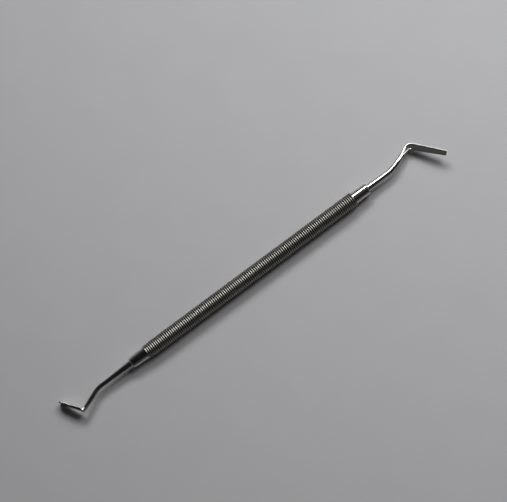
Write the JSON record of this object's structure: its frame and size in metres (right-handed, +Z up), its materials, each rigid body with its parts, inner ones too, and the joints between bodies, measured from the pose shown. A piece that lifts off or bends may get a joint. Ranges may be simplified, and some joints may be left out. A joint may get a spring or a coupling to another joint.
{
  "type": "double-ended dental spatula",
  "caption": "Slim metal hand tool with a ring-grooved round handle and, at each end, a bent shank that ends in a flat angled blade.",
  "frame": {"origin": "on the handle's axis, at the middle of its ringed grip", "axes": "+X along the handle towards the long blade, +Z up as the tool lies on a table, +Y towards the side where the long blade's elbow stands out"},
  "size_m": [0.1763, 0.0126, 0.006],
  "materials": {
    "handle_steel": "satin turned steel, bright on the collars",
    "blade_steel": "polished stainless steel"
  },
  "bodies": {
    "root": {"handle": "handle_steel", "long_blade_tip": "blade_steel", "short_blade_tip": "blade_steel"}
  },
  "joints": []
}
